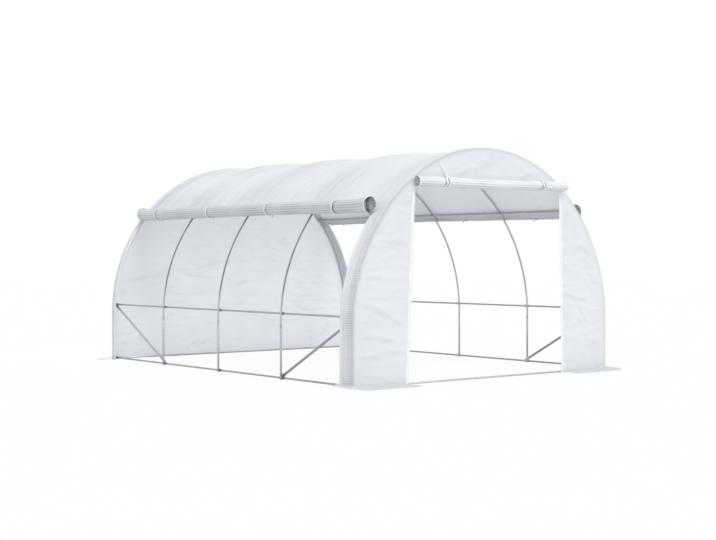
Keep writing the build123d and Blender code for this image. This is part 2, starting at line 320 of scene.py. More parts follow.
def grey(value):
    """A colour without tint."""
    return value, value, value


def galvanised_steel(name, bright, dull, patchy, right_side=None, painted_light_joints=False):
    """Zinc-coated tube: pale spangle and duller patches; where asked, painted light on the joints of the right side,
    and on the right-side hoops a painted reflection on the rims, paler low ends and a paler right side.
    """
    made, tree, shader = blank_material(name)
    where = node(tree, "ShaderNodeTexCoord").outputs["Object"]
    spangle = node(tree, "ShaderNodeTexVoronoi", {"Vector": where, "Scale": 140.0}).outputs["Color"]
    flake = node(tree, "ShaderNodeSeparateColor", {0: spangle}).outputs[0]
    patch = noise_mask(tree, where, 9.0, 5.0)
    colour = tint(tree, maths(tree, "MULTIPLY", patch, 0.6), tint(tree, flake, dull, bright), patchy)
    x, y, z = axes_of(tree, where)
    if painted_light_joints:
        # Painted light: the joints on the right side are coloured pale grey, against the shade on their flat ends
        joint = ease(tree, maths(tree, "PINGPONG", y, BAY / 2), 0.03, 0.06, 1.0, 0.0)
        right_joint_light = maths(tree, "MULTIPLY", maths(tree, "GREATER_THAN", x, 0.0), joint)
        colour = tint(tree, right_joint_light, colour, grey(0.62))
    if right_side:
        # Painted reflection: the rims of the tube, where it turns away, are coloured paler
        facing = node(tree, "ShaderNodeLayerWeight", {"Blend": 0.5}).outputs["Facing"]
        colour = tint(tree, ease(tree, facing, 0.1, 0.45), colour, (0.66, 0.69, 0.74))
        # Painted light: low down the hoop keeps a paler colour, so its painted shade lies on the arch only
        colour = tint(tree, ease(tree, z, 0.55, 0.85, 0.9, 0.0), colour, (0.565, 0.588, 0.622))
        # Painted light: towards the right the hoop is coloured paler, for the light that falls on the right-side hoops
        colour = tint(tree, ease(tree, x, 0.2, 0.9, 0.0, 0.8), colour, right_side)
    tree.links.new(colour, shader.inputs["Base Color"])
    shader.inputs["Metallic"].default_value = 0.85
    roughness_from(tree, patch, 0.3, 0.52, shader)
    bumps(tree, shader, (flake, 0.0001, 0.4))
    return made


def bolt_steel():
    """Zinc-plated bolts, duller where the spanner has turned them."""
    made, tree, shader = blank_material("bolt_steel")
    rub = noise_mask(tree, node(tree, "ShaderNodeTexCoord").outputs["Object"], 220.0, 4.0)
    tree.links.new(tint(tree, rub, grey(0.58), grey(0.74)), shader.inputs["Base Color"])
    shader.inputs["Metallic"].default_value = 0.95
    roughness_from(tree, rub, 0.25, 0.5, shader)
    bumps(tree, shader, (rub, 0.0001, 0.3))
    return made


def tie_webbing():
    """Flat white tape with a close ribbed weave."""
    made, tree, shader = blank_material("tie_webbing")
    axes = axes_of(tree, node(tree, "ShaderNodeUVMap", uv_map="cut").outputs[0])
    waves = [
        maths(tree, "SINE", maths(tree, "MULTIPLY", way, 2 * pi / pitch)) for way, pitch in zip(axes, (0.0025, 0.0018))
    ]
    ribs = maths(tree, "MULTIPLY", *waves)
    share = maths(tree, "ADD", maths(tree, "MULTIPLY", ribs, 0.5), 0.5)
    tree.links.new(tint(tree, share, (0.76, 0.78, 0.81), (0.87, 0.89, 0.92)), shader.inputs["Base Color"])
    roughness_from(tree, share, 0.55, 0.75, shader)
    bumps(tree, shader, (ribs, 0.0003, 0.5))
    return made


CLEAN = (0.892, 0.911, 0.944)
ROOF_WHITE = (0.852, 0.873, 0.912)
THREAD = (0.7, 0.722, 0.76)
DARK_THREAD = (0.44, 0.455, 0.49)
HUNG = {"fine": (9, 34, 1), "broad": (2.2, 9, 1), "depth": 0.012, "lines": (0.08, 0.25)}
WOUND = {"fine": (70, 4, 1), "broad": (22, 1.5, 1), "depth": 0.005, "lines": (1.0, 0.1), "pitch": 0.022}
# The rolls' painted shade is near black: it paints the shadow gap beside each tie
WOUND["hollows"] = (0.1, 0.105, 0.12)
WALL_CLOTH = cover_cloth("wall_cloth", CLEAN, THREAD, **HUNG, through=0.4)
ROOF_CLOTH = cover_cloth(
    "roof_cloth", ROOF_WHITE, DARK_THREAD, (4, 55, 1), (1.3, 17, 1), 0.012, (0.52, 0.05), 0.26, (1.2, 1.75, 1.0, 0.05),
    shade_share=0.72,
)
# Painted shade: the flaps take the cover cloth coloured darker, for how light falls on them
FLAP_CLOTH_SHADED = cover_cloth("flap_cloth_painted_shade", (0.76, 0.79, 0.815), (0.65, 0.675, 0.71), **HUNG, through=0.25)
# Painted shade: the rolled walls and the rolled door take the cover cloth coloured darker, for the shade on their
# rounded sides
SIDE_ROLL_CLOTH_SHADED = cover_cloth("roll_cloth", (0.632, 0.652, 0.686), (0.34, 0.355, 0.39), **WOUND)
DOOR_ROLL_CLOTH_SHADED = cover_cloth("door_roll_cloth_painted_shade", (0.78, 0.805, 0.84), (0.46, 0.475, 0.51), **WOUND)
HEM_CLOTH = cover_cloth(
    "hem_cloth", (0.92, 0.945, 0.98), (0.82, 0.845, 0.885), (30, 6, 1), (8, 3, 1), 0.003, (0.2, 0.4), 0.15,
    stitched=True,
)
STEEL = galvanised_steel("galvanised_steel", (0.6, 0.627, 0.664), (0.467, 0.488, 0.516), (0.41, 0.428, 0.453))
# Painted shade: the right legs take a darker, warmer copy of the galvanised steel, for how light falls on that side
RIGHT_LEG_STEEL_SHADED = galvanised_steel("right_leg_steel_painted_shade", (0.58, 0.575, 0.565), (0.45, 0.445, 0.44), (0.39, 0.385, 0.38))
RAIL_STEEL = galvanised_steel("rail_steel", grey(0.53), grey(0.39), grey(0.33), painted_light_joints=True)
MID_STEEL = galvanised_steel("mid_rail_steel", (0.505, 0.528, 0.56), (0.37, 0.388, 0.412), (0.315, 0.33, 0.35))
# Painted shade: the middle hoops take a much darker copy of the galvanised steel, for the shade on their arches;
# towards the right they turn paler
HOOP_STEEL_SHADED = galvanised_steel(
    "bent_hoop_steel_painted_shade", (0.27, 0.285, 0.305), (0.19, 0.2, 0.215), (0.15, 0.158, 0.17), (0.59, 0.585, 0.575)
)
PURLIN_STEEL = galvanised_steel("purlin_steel", grey(0.54), grey(0.42), grey(0.35))
# Painted shade: the front braces take a darker copy of the galvanised steel, with painted light on their right joints;
# the back braces take the plain steel
FRONT_BRACE_STEEL_SHADED = galvanised_steel("front_brace_steel_painted_shade", grey(0.47), grey(0.35), grey(0.28), painted_light_joints=True)
# Painted light: the sill tubes and the end hoops take a paler copy of the galvanised steel, against the shade at the
# ground and where the end walls meet them
SILL_STEEL_LIT = galvanised_steel("sill_steel_painted_light", (0.72, 0.715, 0.71), (0.58, 0.575, 0.57), (0.5, 0.495, 0.49))
BOLT = bolt_steel()
WEBBING = tie_webbing()


# Pieces


def add_piece(bm, name, material, nodes=(), thickness=0.0):
    """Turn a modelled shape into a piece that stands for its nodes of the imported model."""
    mesh = bpy.data.meshes.new(name)
    bm.to_mesh(mesh)
    bm.free()
    mesh.materials.append(material)
    mesh.shade_smooth()
    piece = bpy.data.objects.new(name, mesh)
    scene.collection.objects.link(piece)
    if thickness:
        wall = piece.modifiers.new("thickness", "SOLIDIFY")
        wall.thickness = thickness
        wall.offset = 0.0
    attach(piece, "root")
    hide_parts(*nodes)
    return piece


def outward(bm):
    """Close what is doubled and turn every face outward."""
    bmesh.ops.remove_doubles(bm, verts=bm.verts, dist=0.00002)
    bmesh.ops.recalc_face_normals(bm, faces=bm.faces)


# Tubes of the frame


def ring_of(bm, radius, matrix=Matrix()):
    """A round ring of corners, and its edges."""
    ring = bmesh.ops.create_circle(bm, segments=TUBE_SIDES, radius=radius, matrix=matrix)["verts"]
    return ring, list({edge for vert in ring for edge in vert.link_edges})


def grown_from(bm, edges):
    """Draw edges out, and give the new corners and edges."""
    grown = bmesh.ops.extrude_edge_only(bm, edges=edges)["geom"]
    return [[part for part in grown if isinstance(part, kind)] for kind in (bmesh.types.BMVert, bmesh.types.BMEdge)]


def drawn_tube(bm, sections, matrix=Matrix()):
    """A round tube drawn along Z through sections of a height and two half widths, closed at both ends."""
    ring, edges = ring_of(bm, 1.0)
    unit = [vert.co.copy() for vert in ring]
    everything = list(ring)
    for index, (height, half_x, half_y) in enumerate(sections):
        if index:
            verts, edges = grown_from(bm, edges)
            ring = [min(verts, key=lambda vert: (vert.co.xy - last.co.xy).length) for last in ring]
            everything += ring
        for vert, at in zip(ring, unit):
            vert.co = (at.x * half_x, at.y * half_y, height)
    bmesh.ops.transform(bm, matrix=matrix, verts=everything)


def frame_piece(bm, name, nodes, steel):
    """Close the tubes and add them as a steel piece."""
    bmesh.ops.holes_fill(bm, edges=bm.edges, sides=0)
    outward(bm)
    add_piece(bm, name, steel, nodes)


def bent_hoop(name, y):
    """One arch: a ring swept through half a turn, with a straight socket below each end."""
    bm = bmesh.new()
    ring, edges = ring_of(bm, HOOP_TUBE / 2, Matrix.Translation((ARCH, y, LEG)))
    swept = bmesh.ops.spin(bm, geom=ring + edges, cent=(0, y, LEG), axis=(0, -1, 0), angle=pi, steps=ARCH_STEPS)
    last = [part for part in swept["geom_last"] if isinstance(part, bmesh.types.BMEdge)]
    for loop in (edges, last):
        bmesh.ops.translate(bm, vec=(0, 0, -SOCKET), verts=grown_from(bm, loop)[0])
    for vert in bm.verts:
        out = Vector((vert.co.x, 0, vert.co.z - LEG))
        vert.co -= out.normalized() * arch_drop(atan2(out.z, out.x), y)
    # The middle hoops take the darker steel as painted shade; the end hoops take the pale sill steel as painted light
    # against the shade where the end walls meet them
    frame_piece(bm, f"{name}_hoop", [f"{name}_hoop_arch"], HOOP_STEEL_SHADED if abs(y) < END_HOOP else SILL_STEEL_LIT)


def legs(name, side):
    """The five straight legs of a side, each with a drawn-in top that sits in its arch."""
    bm = bmesh.new()
    shoulder = LEG - SOCKET
    outer = HOOP_TUBE / 2
    inner = outer - 0.0014
    steps = [(0, outer - 0.001), (0.001, outer), (shoulder - 0.0015, outer), (shoulder, inner), (LEG - 0.006, inner)]
    for y in HOOPS:
        drawn_tube(bm, [(z, r, r) for z, r in steps], Matrix.Translation((side * ARCH, y, 0)))
    # The right legs take the darker steel copy as painted shade
    frame_piece(bm, f"{name}_legs", [f"{name}_leg_posts"], STEEL if side < 0 else RIGHT_LEG_STEEL_SHADED)


def bolt_place(side, angle, height, y, level):
    """Middle of a flat end bolted inside a hoop, the given number of flats in from it."""
    inward = ARCH - arch_drop(angle, y) - HOOP_TUBE / 2 - SLACK - FLAT / 2 - level * (FLAT + SLACK)
    return Vector((side * inward * cos(angle), y, height - (ARCH - inward) * sin(angle)))


def pressed_sections(radius, flat_width, span):
    """Sections of a tube pressed flat at both ends."""
    ends = [(-0.008, FLAT / 2, flat_width / 2 - 0.003), (-0.005, FLAT / 2, flat_width / 2)]
    ends.append((0.026, FLAT / 2, flat_width / 2))
    for i in range(1, 6):
        share = smooth_step(0, 1, i / 5)
        half_x = FLAT / 2 + (radius - FLAT / 2) * share
        half_y = flat_width / 2 + (radius - flat_width / 2) * share
        ends.append((0.026 + 0.006 * i, half_x, half_y))
    return ends + [(span - z, half_x, half_y) for z, half_x, half_y in reversed(ends)]


def lay_tube(bm, radius, flat_width, start, finish, side, angle):
    """A flat-ended tube between two bolts, its flats facing the hoop."""
    run = finish - start
    up = run.normalized()
    out = Vector((side * cos(angle), 0, sin(angle)))
    out = (out - up * out.dot(up)).normalized()
    turned = Matrix((out, up.cross(out), up)).transposed().to_4x4()
    drawn_tube(bm, pressed_sections(radius, flat_width, run.length), Matrix.Translation(start) @ turned)


BOLTS = []


def rail(name, side, angle, height):
    """A row of four rail tubes, each front end bolted over the back end of the next."""
    bm = bmesh.new()
    for i in range(4):
        level = 1 if i < 3 else 0
        start = bolt_place(side, angle, height, HOOPS[i], 0)
        finish = bolt_place(side, angle, height, HOOPS[i + 1], level)
        lay_tube(bm, RAIL_TUBE / 2, RAIL_FLAT, start, finish, side, angle)
    for i, y in enumerate(HOOPS):
        BOLTS.append((bolt_place(side, angle, height, y, 1 if 0 < i < 4 else 0), side, angle))
    low = MID_STEEL if name == "left_mid_rail" else RAIL_STEEL
    frame_piece(bm, f"{name}_tube", [name], low if angle < PURLIN else PURLIN_STEEL)


def brace(name, side, end):
    """A diagonal from the foot of the last hoop but one up to the end hoop, under its rail."""
    bm = bmesh.new()
    foot = bolt_place(side, 0, BASE_RAIL + BRACE_OFFSET, end * (END_HOOP - BAY), 2)
    height = MID_RAIL - BRACE_OFFSET
    lean = asin(max(height - LEG, 0) / ARCH)
    head = bolt_place(side, lean, height, end * (END_HOOP - BRACE_INSET), 1)
    lay_tube(bm, BRACE_TUBE / 2, BRACE_FLAT, foot, head, side, lean / 2)
    BOLTS.extend(((foot, side, 0), (head, side, lean)))
    # Front braces take the darker steel as painted shade
    frame_piece(bm, f"{name}_tube", [name], FRONT_BRACE_STEEL_SHADED if end < 0 else STEEL)


def sill(name, y):
    """The plain tube on the ground between the two legs of an end hoop."""
    bm = bmesh.new()
    reach = bolt_place(1, 0, 0, y, 0).x - FLAT / 2 - SLACK
    r = RAIL_TUBE / 2
    steps = ((-reach, r - 0.001), (-reach + 0.001, r), (reach - 0.001, r), (reach, r - 0.001))
    lying = Matrix.Translation((0, y, r)) @ Matrix.Rotation(pi / 2, 4, "Y")
    drawn_tube(bm, [(z, half, half) for z, half in steps], lying)
    frame_piece(bm, f"{name}_round", [name], SILL_STEEL_LIT)


def bolts():
    """A washer, a hexagon nut and a bolt end on the inside of every joint."""
    bm = bmesh.new()
    for place, side, angle in BOLTS:
        inward = Vector((-side * cos(angle), 0, -sin(angle)))
        turned = inward.to_track_quat("Z", "Y").to_matrix().to_4x4()
        face = Matrix.Translation(place + inward * FLAT / 2) @ turned
        for segments, radius, low, high in BOLT_PARTS:
            seat = face @ Matrix.Translation((0, 0, (low + high) / 2))
            bmesh.ops.create_cone(
                bm, cap_ends=True, segments=segments, radius1=radius, radius2=radius, depth=high - low, matrix=seat
            )
    rims = [edge for edge in bm.edges if edge.calc_face_angle(0) > 1.2]
    bmesh.ops.bevel(bm, geom=rims, offset=0.0004, affect="EDGES", segments=1, profile=0.5, material=-1)
    piece = add_piece(bm, "joint_bolts", BOLT)
    piece.data.shade_flat()


for place, y in zip(("back", "second", "middle", "fourth", "front"), HOOPS):
    bent_hoop(place, y)
for word, side in SIDES:
    legs(word, side)
    rail(f"{word}_base_rail", side, 0, BASE_RAIL)
    rail(f"{word}_mid_rail", side, asin((MID_RAIL - LEG) / ARCH), MID_RAIL)
    rail(f"{word}_purlin", side, PURLIN, LEG + ARCH * sin(PURLIN))
    brace(f"{word}_front_brace", side, -1)
    brace(f"{word}_back_brace", side, 1)
rail("ridge_rail", 1, pi / 2, LEG + ARCH)
sill("front_sill_tube", -END_HOOP)
sill("back_sill_tube", END_HOOP)
bolts()


# The cover


def flat_cut(bm, low, high, cell):
    """A flat piece of cloth in a grid of about the given cell."""
    width, length = high[0] - low[0], high[1] - low[1]
    columns = max(round(width / cell[0]), 1)
    rows = max(round(length / cell[1]), 1)
    verts = bmesh.ops.create_grid(bm, x_segments=columns, y_segments=rows, size=0.5)["verts"]
    bmesh.ops.scale(bm, vec=(width, length, 1), verts=verts)
    bmesh.ops.translate(bm, vec=((low[0] + high[0]) / 2, (low[1] + high[1]) / 2, 0), verts=verts)


def slit(bm, place, across):
    """Add a row of corners to a flat cut along one line."""
    normal = (1, 0, 0) if across else (0, 1, 0)
    point = (place, 0, 0) if across else (0, place, 0)
    bmesh.ops.bisect_plane(bm, geom=bm.verts[:] + bm.edges[:] + bm.faces[:], plane_co=point, plane_no=normal, dist=1e-6)


def keep_cut(bm, verts=None, cut=None):
    """Note where corners lie in the flat cut, by a rule if there is one, so that the weave follows the cloth."""
    layer = bm.loops.layers.uv.get("cut") or bm.loops.layers.uv.new("cut")
    for vert in verts or bm.verts:
        for loop in vert.link_loops:
            loop[layer].uv = cut(*vert.co.xy) if cut else vert.co.xy


def lay(bm, place, hollow=None):
    """Move a flat cut to where it hangs, note its painted shade, and turn its faces alike."""
    keep_cut(bm)
    if hollow:
        layer = bm.verts.layers.float.new("hollow")
        for vert in bm.verts:
            vert[layer] = hollow(vert.co.x, vert.co.y)
    for vert in bm.verts:
        vert.co = place(vert.co.x, vert.co.y)
    bmesh.ops.recalc_face_normals(bm, faces=bm.faces)


def roof_angle(way):
    """The angle of the arch at a way along the cut, from the right side up."""
    return pi - (way - LEG) / COVER


def arch_line(way):
    """A point on the line of the hoops and the outward direction there, by the way along the cut."""
    if way < LEG:
        return Vector((-ARCH, 0, way)), Vector((-1, 0, 0))
    if way > LEG + ARC:
        return Vector((ARCH, 0, CUT_WIDTH - way)), Vector((1, 0, 0))
    angle = roof_angle(way)
    out = Vector((cos(angle), 0, sin(angle)))
    return out * ARCH + Vector((0, 0, LEG)), out


def from_hoop(y):
    """Distance along the tunnel to the nearest hoop."""
    return min(abs(y - hoop) for hoop in HOOPS)


def roof_folds(way, y):
    """Height share of the folds that run over the roof beside the hoops, 0 in a trough and 1 on a ridge."""
    skew = y + 0.05 * (way - CUT_WIDTH / 2)
    bend = 0.02 * rough(way * 2.2, y * 1.5, 9.3)
    drawn = 1 - abs(rough((skew + bend) * 9.5, way * 0.8, 3.1)) * 2.2
    other = 1 - abs(rough((y - 0.04 * way + bend) * 18.0, way * 1.3, 7.7)) * 2.6
    thin = 1 - abs(rough((skew + 0.5 * bend) * 30.0, way * 0.9, 12.4)) * 3.2
    return 0.26 * max(drawn, 0) ** 2 + 0.28 * max(other, 0) ** 2 + 0.46 * max(thin, 0) ** 1.4


def fold_strength(way, y):
    """Where the folds are: strong beside each hoop and patchy elsewhere, none over the walls."""
    angle = roof_angle(way)
    open_side = smooth_step(radians(22), radians(40), min(angle, pi - angle))
    patch = 0.6 + 0.6 * rough(way * 1.7, y * 1.7, 5.2)
    beside = 0.42 + 0.5 * bell(from_hoop(y) - 0.1, 0.17)
    taut = 0.4 + 0.6 * smooth_step(radians(60), radians(100), angle)
    return 1.15 * taut * open_side * beside * min(max(patch, 0.2), 1.0)


def roof_painted_shade(way, y):
    """Painted shade on the cover: between its folds, more so towards the back, in a line round each end hoop, in a band
    below and on the right purlin, and over the right roof above it.
    """
    # Painted shade in a line where the cover turns round each end hoop
    end_hoop_shade = 0.3 * smooth_step(END_HOOP - 0.01, END_HOOP, abs(y))
    angle = roof_angle(way)
    # Painted shade of the right purlin: a band below it and a thin line on it
    below = smooth_step(radians(36), radians(38), angle) * (1 - smooth_step(PURLIN - 0.01, PURLIN + 0.004, angle))
    pressed = 0.7 * below + 0.45 * bell(angle - PURLIN, 0.009)
    # Painted shade over the right roof above the purlin, fading out towards the top
    above = smooth_step(PURLIN - 0.01, PURLIN + 0.02, angle)
    pressed += 0.13 * above * (1 - smooth_step(radians(60), radians(85), angle))
    # The painted shade between the folds grows towards the back
    bright = 0.68 + 0.42 * smooth_step(-1.9, 1.6, y)
    return (1 - roof_folds(way, y)) * fold_strength(way, y) * bright + end_hoop_shade + pressed


def roof_looseness(way, y):
    """How far the cover stands out from, or sags between, the hoops it lies on."""
    angle = roof_angle(way)
    bay = ((y + END_HOOP) / BAY) % 1.0
    open_side = smooth_step(radians(20), radians(42), min(angle, pi - angle))
    from_rail = min(abs(angle - PURLIN), abs(angle - pi / 2), abs(angle - pi + PURLIN))
    free = smooth_step(radians(0.5), radians(5), from_rail)
    sag = sin(pi * bay) ** 2 * (0.0095 + 0.0095 * free) * open_side
    fold = 0.015 * roof_folds(way, y) * fold_strength(way, y)
    return fold * smooth_step(0.0, 0.05, from_hoop(y)) - sag


def roof_slack(way, y):
    """How far the loose end of the cover stands off the hoops towards the back."""
    angle = roof_angle(way)
    shoulder = smooth_step(radians(41), radians(56), min(angle, pi - angle))
    strip = smooth_step(END_HOOP - 0.085, END_HOOP - 0.05, y)
    return 0.0245 * min(max(y / END_HOOP, 0), 1) * max(shoulder, strip)


def over_hoops(way, y, proud=0.0):
    """Where a point of the cover lies: over the arch, and round the tube of an end hoop."""
    line, out = arch_line(way)
    line -= out * arch_drop(atan2(out.z, out.x), y)
    round_tube = max(abs(y) - END_HOOP, 0) / LIFT
    free = 1 - smooth_step(END_HOOP - 0.02, END_HOOP, abs(y))
    lift = LIFT + roof_looseness(way, y) * free + roof_slack(way, y) + proud
    point = line + out * lift * cos(round_tube)
    point.y = min(abs(y), END_HOOP) + (LIFT + proud) * sin(round_tube)
    point.y *= 1 if y > 0 else -1
    return point


def cover_sheet():
    """The roof with the four strips of wall beside the end hoops, in one piece."""
    bm = bmesh.new()
    flat_cut(bm, (0, -CUT_END), (CUT_WIDTH, CUT_END), (0.03, 0.0105))
    for edge in (ROOF_EDGE, CUT_WIDTH - ROOF_EDGE, LEG, CUT_WIDTH - LEG):
        slit(bm, edge, True)
    for off in (-0.014, -0.005, 0.005, 0.014):
        slit(bm, CUT_WIDTH - LEG - COVER * (PURLIN + off), True)
    for ends in STRIPS.values():
        for y in ends:
            slit(bm, y, False)
    for i in range(5):
        for end in (-1, 1):
            slit(bm, end * (END_HOOP + LIFT * pi / 2 * i / 5), False)
    cut_out = []
    for face in bm.faces:
        middle = face.calc_center_median()
        side = -1 if middle.x < CUT_WIDTH / 2 else 1
        from_ground = middle.x if side < 0 else CUT_WIDTH - middle.x
        front, back = STRIPS[side]
        if from_ground < ROOF_EDGE and front < middle.y < back:
            cut_out.append(face)
    bmesh.ops.delete(bm, geom=cut_out, context="FACES")
    lay(bm, over_hoops, roof_painted_shade)
    strips = [f"{word}_{place}_strip" for word in ("left", "right") for place in ("front", "back")]
    piece = add_piece(bm, "cover_sheet", ROOF_CLOTH, ["roof_cover", *strips])


cover_sheet()


def wall_half_width(height):
    """Half the width of an end wall at a height."""
    return sqrt(max(ARCH**2 - max(height - LEG, 0) ** 2, 0))


def wall_top(x):
    """Height of an end wall at a distance from its middle."""
    return LEG + sqrt(max(ARCH**2 - x * x, 0))


STRAPS = ((-0.6, 1.74), (0.56, 1.74))
FRONT_CREASES = (
    (-1.435, 0.689, -0.995, 0.506, 0.007, 0.016),
    (-1.457, 0.859, -1.207, 0.902, 0.004, 0.014),
    (-1.311, 1.2, -0.909, 1.148, 0.005, 0.02),
    (-1.401, 0.1, -1.163, 0.052, 0.006, 0.014),
    (-1.195, 0.307, -0.951, 0.273, 0.006, 0.018),
    (-1.483, 0.717, -1.1, 0.721, 0.004, 0.014),
    (-1.442, 0.432, -1.09, 0.387, 0.005, 0.02),
    (-1.432, 0.25, -1.237, 0.257, 0.004, 0.016),
    (0.89, 0.73, 1.229, 0.661, 0.006, 0.018),
    (0.958, 0.393, 1.175, 0.478, 0.005, 0.014),
    (1.147, 0.607, 1.257, 0.448, 0.008, 0.022),
    (0.903, 1.147, 1.283, 1.15, 0.004, 0.014),
    (-0.579, 1.833, -0.52, 1.72, 0.008, 0.016),
    (-0.247, 1.781, -0.01, 1.878, 0.006, 0.03),
    (0.359, 1.756, 0.561, 1.836, 0.005, 0.026),
    (-0.409, 1.73, -0.247, 1.798, 0.006, 0.024),
)
BACK_CREASES = (
    (-1.47, 0.68, -1.38, 0.7, 0.006, 0.01),
    (-1.37, 0.8, -0.93, 0.88, 0.006, 0.01),
    (-0.88, 0.95, -0.59, 0.925, 0.006, 0.01),
    (-0.59, 0.925, -0.24, 1.0, 0.006, 0.01),
    (-0.24, 1.0, 0.17, 1.02, 0.005, 0.009),
    (-0.66, 0.88, -0.3, 0.83, 0.005, 0.01),
    (-0.06, 0.64, 0.43, 0.63, 0.005, 0.01),
    (0.56, 0.71, 0.82, 0.62, 0.006, 0.01),
    (0.82, 0.62, 1.13, 0.625, 0.006, 0.01),
    (-0.66, 0.08, -0.49, 0.18, 0.006, 0.012),
    (-0.49, 0.11, -0.3, 0.2, 0.006, 0.012),
    (-0.83, 0.68, -0.42, 0.68, 0.004, 0.01),
    (-0.11, 0.76, 0.4, 0.83, 0.004, 0.012),
    (0.66, 0.9, 0.95, 1.2, 0.005, 0.014),
    (0.82, 0.5, 1.1, 0.45, 0.004, 0.012),
)


def marked_creases(x, z, creases):
    """Height of the few long creases on an end wall, and the painted shade on their lower sides."""
    height, painted_dark = 0.0, 0.0
    for x0, z0, x1, z1, rise, width in creases:
        run = Vector((x1 - x0, z1 - z0))
        away = Vector((x - x0, z - z0))
        share = away.dot(run) / run.length_squared
        if -0.1 < share < 1.1:
            off = (run.x * away.y - run.y * away.x) / run.length
            off += 0.016 * rough(x * 7, z * 4, x0 * 7) + 0.008 * rough(x * 19, z * 9, x0 * 5)
            taper = smooth_step(-0.1, 0.2, share) * (1 - smooth_step(0.8, 1.1, share))
            taper *= 0.75 + 0.6 * rough(x * 9, z * 9, x1 * 3)
            height += rise * taper * bell(off, width)
            # Painted shade in a band just below the crease
            painted_dark += taper * bell(off + 1.2 * width, width)
    return height, min(painted_dark, 1.0)


def pulled_creases(x, z):
    """Creases that fan out over the gable from the straps of the rolled door."""
    height = 0.0
    for strap_x, strap_z in STRAPS:
        away = Vector((x - strap_x, z - strap_z))
        reach = away.length
        turn = away.angle_signed(Vector((0, 1)), 0.0)
        ray = 1 - abs(rough(turn * 3.2, strap_x * 9, 0.4 * reach)) * 2
        height += max(ray, 0) ** 2 * bell(reach, 0.22) * smooth_step(0.0, 0.05, reach)
    return height


def wall_folds(x, z, seed):
    """Height share of the fold marks of an end wall: lying ones, and slanting ones from the corners."""
    tilt = z + 0.12 * x + 0.03 * rough(x * 2.0, z * 1.2, seed)
    across = 1 - abs(rough(x * 1.6, tilt * 8.0, seed + 2.0)) * 2
    slant = 1 - abs(rough((abs(x) * 0.6 + z) * 5.2, (abs(x) - z) * 1.2, seed + 5.0)) * 2.4
    return 0.55 * max(across, 0) ** 3 + 0.45 * max(slant, 0) ** 3


def wall_lines(x, z, seed):
    """Share of the thin wrinkles that lie across an end wall in patches."""
    waver = 0.05 * rough(x * 2.6, z * 2.0, seed + 14.0)
    line = 1 - abs(rough(x * 2.4, (z + waver + 0.06 * x) * 15.0, seed + 21.0)) * 6
    patch = 0.5 + rough(x * 2.8, z * 3.4, seed + 17.0)
    return max(line, 0) * min(max(patch, 0), 1)


def wall_held(x, z):
    """0 where an end wall is held at its hoop or on the ground, 1 in its middle."""
    reach = ARCH - (abs(x) if z < LEG else sqrt(x * x + (z - LEG) ** 2))
    return smooth_step(0.0, 0.12, reach) * smooth_step(-0.02, 0.06, z)


def wall_crease(x, z, seed):
    """How far an end wall stands out in fold marks and slack, none at the hoop."""
    slack = 0.5 + 0.5 * rough(x * 2.1, z * 2.1, seed + 9.0)
    own = marked_creases(x, z, FRONT_CREASES if seed == FRONT_SEED else BACK_CREASES)[0]
    if seed == FRONT_SEED:
        own += 0.004 * pulled_creases(x, z)
    folds = (0.008 * wall_folds(x, z, seed) + 0.0025 * wall_lines(x, z, seed)) * (1 - 0.6 * smooth_step(1.5, 1.75, z))
    return wall_held(x, z) * (folds + 0.006 * slack + own)


def on_front(x, z, proud=0.0):
    """A point of the front wall, drawn in at its rim with the front arch."""
    out = Vector((x, 0, z - LEG))
    rim = smooth_step(0.88 * ARCH, ARCH, out.length) if z > LEG else 0.0
    inward = out.normalized() * rim * arch_drop(atan2(out.z, out.x), -END_HOOP)
    return Vector((x, -END_WALL - wall_crease(x, z, FRONT_SEED) - proud, z)) - inward


def on_back(x, z, proud=0.0):
    """A point of the back wall."""
    return Vector((x, END_WALL + wall_crease(x, z, BACK_SEED) + proud, z))


def front_painted_shade(x, z):
    """Painted shade on the front wall: between its folds and pulled creases, and below its long creases and thin
    wrinkles.
    """
    folds = wall_folds(x, z, FRONT_SEED) + pulled_creases(x, z)
    # Painted shade below the long creases and the thin wrinkles
    marks = 0.3 * marked_creases(x, z, FRONT_CREASES)[1] + 0.16 * wall_lines(x, z - 0.01, FRONT_SEED)
    return (0.12 * (1 - min(folds, 1)) + marks) * wall_held(x, z)


def back_painted_shade(x, z):
    """Painted shade on the back wall: between its folds, below its long creases and thin wrinkles, higher up on its
    left, and towards its side edges.
    """
    # Painted shade below the long creases and the thin wrinkles
    marks = 0.5 * marked_creases(x, z, BACK_CREASES)[1] + 0.3 * wall_lines(x, z - 0.01, BACK_SEED)
    # Painted shade higher up on the left of the wall
    upper_shade = 0.16 * smooth_step(0.75, 1.45, z) * (1 - smooth_step(-0.6, 1.0, x))
    # Painted shade towards both side edges, more on the left, against the lamp light that comes in at the open sides
    edge = (0.85 if x < 0 else 0.4) * smooth_step(0.7, 1.55, abs(x)) * (0.6 + 0.4 * bell(z - 0.75, 0.35))
    return (0.1 * (1 - wall_folds(x, z, BACK_SEED)) + marks + upper_shade) * wall_held(x, z) + edge


def door_edge(z, side):
    """Distance of the door's edge from the middle at a height."""
    below, above = DOOR_EDGES[side]
    return below + (above - below) * z / DOOR_TOP


